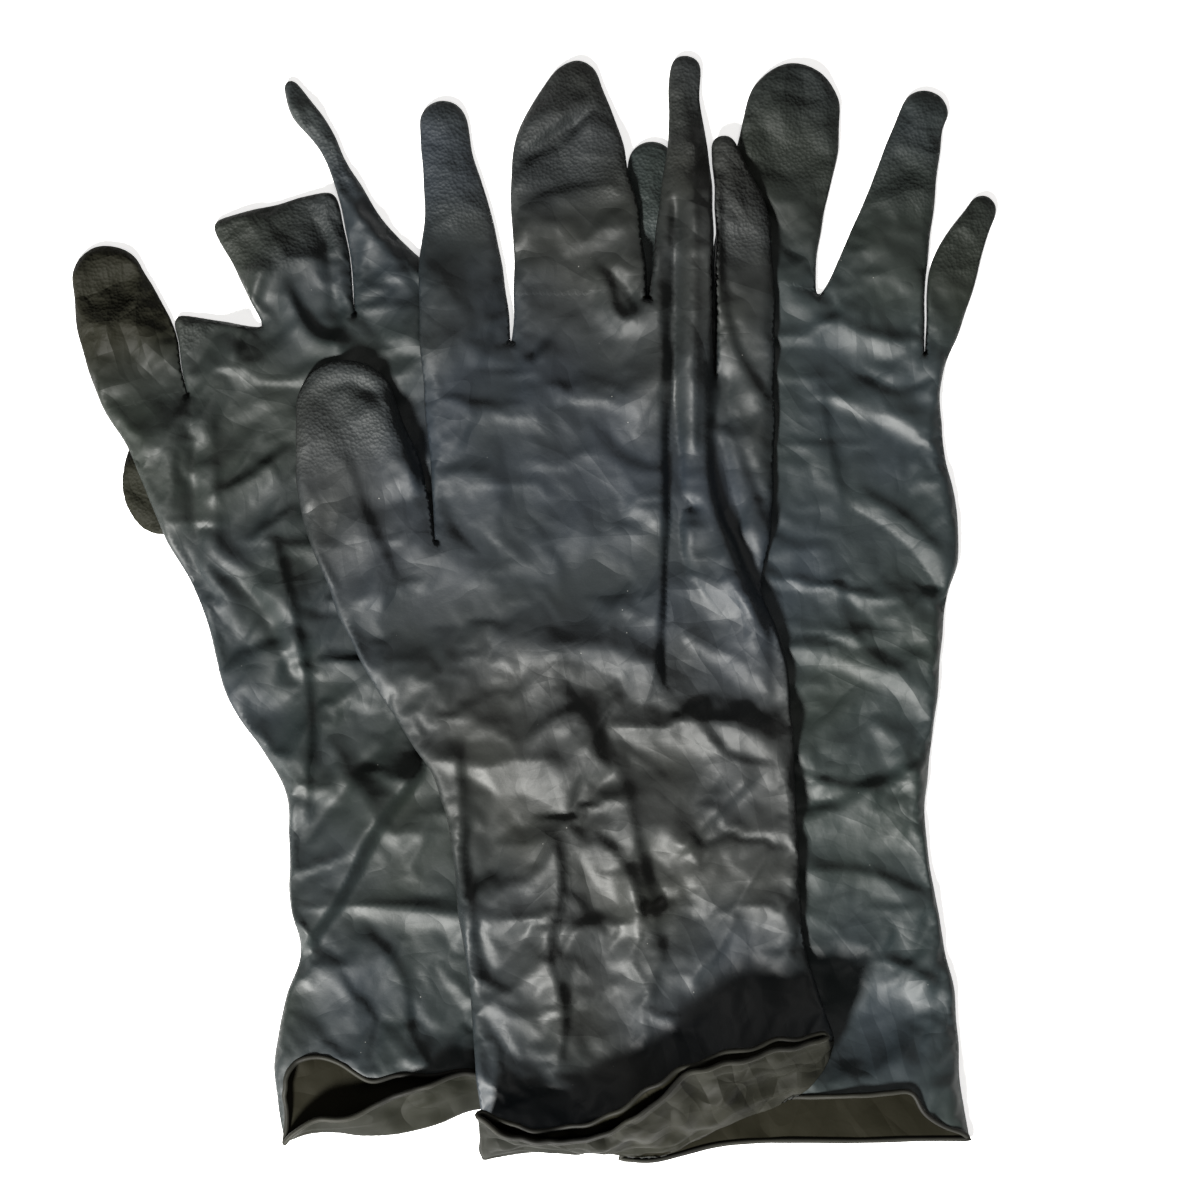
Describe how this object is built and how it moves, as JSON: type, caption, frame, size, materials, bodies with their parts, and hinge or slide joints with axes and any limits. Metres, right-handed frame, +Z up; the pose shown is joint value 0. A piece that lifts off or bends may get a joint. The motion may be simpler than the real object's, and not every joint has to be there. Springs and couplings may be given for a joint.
{
  "type": "pile of disposable protective gloves",
  "caption": "Pile of thin dipped work gloves with long gauntlet cuffs, lying flat and crumpled, whose fingers, wrists and cuff rims fold.",
  "frame": {"origin": "a point on the underside of the left glove's palm, at table level, under the middle of the pile", "axes": "+X to the right-hand glove, +Y from the cuffs to the fingertips, +Z up from the table"},
  "size_m": [0.2502, 0.2977, 0.0283],
  "materials": {
    "top_film": "satin dipped film, finely textured at the fingertips",
    "right_film": "satin dipped film, finely textured at the fingertips",
    "left_film": "satin dipped film, finely textured at the fingertips",
    "bead": "satin rolled film"
  },
  "bodies": {
    "left_palm": {"left_palm": "left_film"},
    "left_gauntlet": {"left_gauntlet": "left_film"},
    "left_rim": {"left_rim": "left_film", "left_bead": "bead"},
    "right_palm": {"right_palm": "right_film"},
    "right_gauntlet": {"right_gauntlet": "right_film"},
    "right_rim": {"right_rim": "right_film", "right_bead": "bead"},
    "top_palm": {"top_palm": "top_film"},
    "top_gauntlet": {"top_gauntlet": "top_film"},
    "top_rim": {"top_rim": "top_film", "top_bead": "bead"},
    "top_thumb": {"top_thumb": "top_film"},
    "top_index_finger": {"top_index_finger": "top_film"},
    "top_middle_finger": {"top_middle_finger": "top_film"},
    "top_ring_finger": {"top_ring_finger": "top_film"},
    "top_little_finger": {"top_little_finger": "top_film"},
    "right_thumb": {"right_thumb": "right_film"},
    "right_index_finger": {"right_index_finger": "right_film"},
    "right_middle_finger": {"right_middle_finger": "right_film"},
    "right_ring_finger": {"right_ring_finger": "right_film"},
    "right_little_finger": {"right_little_finger": "right_film"},
    "left_thumb": {"left_thumb": "left_film"},
    "left_index_finger": {"left_index_finger": "left_film"},
    "left_middle_finger": {"left_middle_finger": "left_film"},
    "left_ring_finger": {"left_ring_finger": "left_film"},
    "left_little_finger": {"left_little_finger": "left_film"},
    "left_ring_tip": {"left_ring_tip": "left_film"}
  },
  "joints": [
    {"name": "right_glove_lift", "type": "slide", "parent": "left_palm", "child": "right_palm", "axis": [0, 0, 1], "range_m": [0, 0.12]},
    {"name": "top_glove_lift", "type": "slide", "parent": "right_palm", "child": "top_palm", "axis": [0, 0, 1], "range_m": [0, 0.12]},
    {"name": "top_thumb_fold", "type": "hinge", "parent": "top_palm", "child": "top_thumb", "pos_m": [-0.04, 0.014, 0.008], "axis": [0.9781, 0.2079, 0], "range_deg": [0, 60]},
    {"name": "top_index_finger_fold", "type": "hinge", "parent": "top_palm", "child": "top_index_finger", "pos_m": [-0.0175, 0.067, 0.008], "axis": [0.9962, 0.0872, 0], "range_deg": [0, 60]},
    {"name": "top_middle_finger_fold", "type": "hinge", "parent": "top_palm", "child": "top_middle_finger", "pos_m": [0.0128, 0.077, 0.008], "axis": [0.9998, 0.0175, 0], "range_deg": [0, 60]},
    {"name": "top_ring_finger_fold", "type": "hinge", "parent": "top_palm", "child": "top_ring_finger", "pos_m": [0.0403, 0.0825, 0.008], "axis": [0.9998, -0.0175, 0], "range_deg": [0, 60]},
    {"name": "top_little_finger_fold", "type": "hinge", "parent": "top_palm", "child": "top_little_finger", "pos_m": [0.0566, 0.062, 0.008], "axis": [1, 0, 0], "range_deg": [0, 60]},
    {"name": "right_thumb_fold", "type": "hinge", "parent": "right_palm", "child": "right_thumb", "pos_m": [0.0162, 0.008, 0.0025], "axis": [1, 0, 0], "range_deg": [-45, 0]},
    {"name": "right_index_finger_fold", "type": "hinge", "parent": "right_palm", "child": "right_index_finger", "pos_m": [0.0336, 0.074, 0.0025], "axis": [0.9994, 0.0349, 0], "range_deg": [-45, 0]},
    {"name": "right_middle_finger_fold", "type": "hinge", "parent": "right_palm", "child": "right_middle_finger", "pos_m": [0.06, 0.082, 0.0025], "axis": [0.9816, -0.1908, 0], "range_deg": [-45, 0]},
    {"name": "right_ring_finger_fold", "type": "hinge", "parent": "right_palm", "child": "right_ring_finger", "pos_m": [0.092, 0.077, 0.0025], "axis": [0.9703, -0.2419, 0], "range_deg": [0, 60]},
    {"name": "right_little_finger_fold", "type": "hinge", "parent": "right_palm", "child": "right_little_finger", "pos_m": [0.1105, 0.0655, 0.0025], "axis": [0.9613, -0.2756, 0], "range_deg": [0, 60]},
    {"name": "left_thumb_fold", "type": "hinge", "parent": "left_palm", "child": "left_thumb", "pos_m": [0.0003, 0.008, 0.0025], "axis": [1, 0, 0], "range_deg": [-45, 0]},
    {"name": "left_index_finger_fold", "type": "hinge", "parent": "left_palm", "child": "left_index_finger", "pos_m": [-0.04, 0.083, 0.0025], "axis": [0.9703, 0.2419, 0], "range_deg": [0, 60]},
    {"name": "left_middle_finger_fold", "type": "hinge", "parent": "left_palm", "child": "left_middle_finger", "pos_m": [-0.061, 0.077, 0.0025], "axis": [0.9511, 0.309, 0], "range_deg": [0, 60]},
    {"name": "left_ring_finger_fold", "type": "hinge", "parent": "left_palm", "child": "left_ring_finger", "pos_m": [-0.083, 0.061, 0.0025], "axis": [0.9903, 0.1392, 0], "range_deg": [0, 60]},
    {"name": "left_little_finger_fold", "type": "hinge", "parent": "left_palm", "child": "left_little_finger", "pos_m": [-0.104, 0.052, 0.0025], "axis": [0.9659, 0.2588, 0], "range_deg": [0, 60]},
    {"name": "left_ring_tip_fold", "type": "hinge", "parent": "left_palm", "child": "left_ring_tip", "pos_m": [-0.1048, 0.0305, 0.0025], "axis": [-0.4305, 0.9026, 0], "range_deg": [0, 60]},
    {"name": "left_wrist_fold", "type": "hinge", "parent": "left_palm", "child": "left_gauntlet", "pos_m": [-0.02425, -0.05, 0.0025], "axis": [-1, 0, 0], "range_deg": [-60, 0]},
    {"name": "right_wrist_fold", "type": "hinge", "parent": "right_palm", "child": "right_gauntlet", "pos_m": [0.06415, -0.05, 0.0025], "axis": [-1, 0, 0], "range_deg": [-60, 0]},
    {"name": "top_wrist_fold", "type": "hinge", "parent": "top_palm", "child": "top_gauntlet", "pos_m": [0.0225, -0.05, 0.008], "axis": [-1, 0, 0], "range_deg": [0, 60]},
    {"name": "left_rim_fold", "type": "hinge", "parent": "left_gauntlet", "child": "left_rim", "pos_m": [-0.02575, -0.128, 0.0025], "axis": [-1, 0, 0], "range_deg": [-60, 0]},
    {"name": "right_rim_fold", "type": "hinge", "parent": "right_gauntlet", "child": "right_rim", "pos_m": [0.06875, -0.1345, 0.0025], "axis": [-1, 0, 0], "range_deg": [-60, 0]},
    {"name": "top_rim_fold", "type": "hinge", "parent": "top_gauntlet", "child": "top_rim", "pos_m": [0.03375, -0.1315, 0.0135], "axis": [0.9551, 0.2962, 0], "range_deg": [-45, 135]}
  ]
}
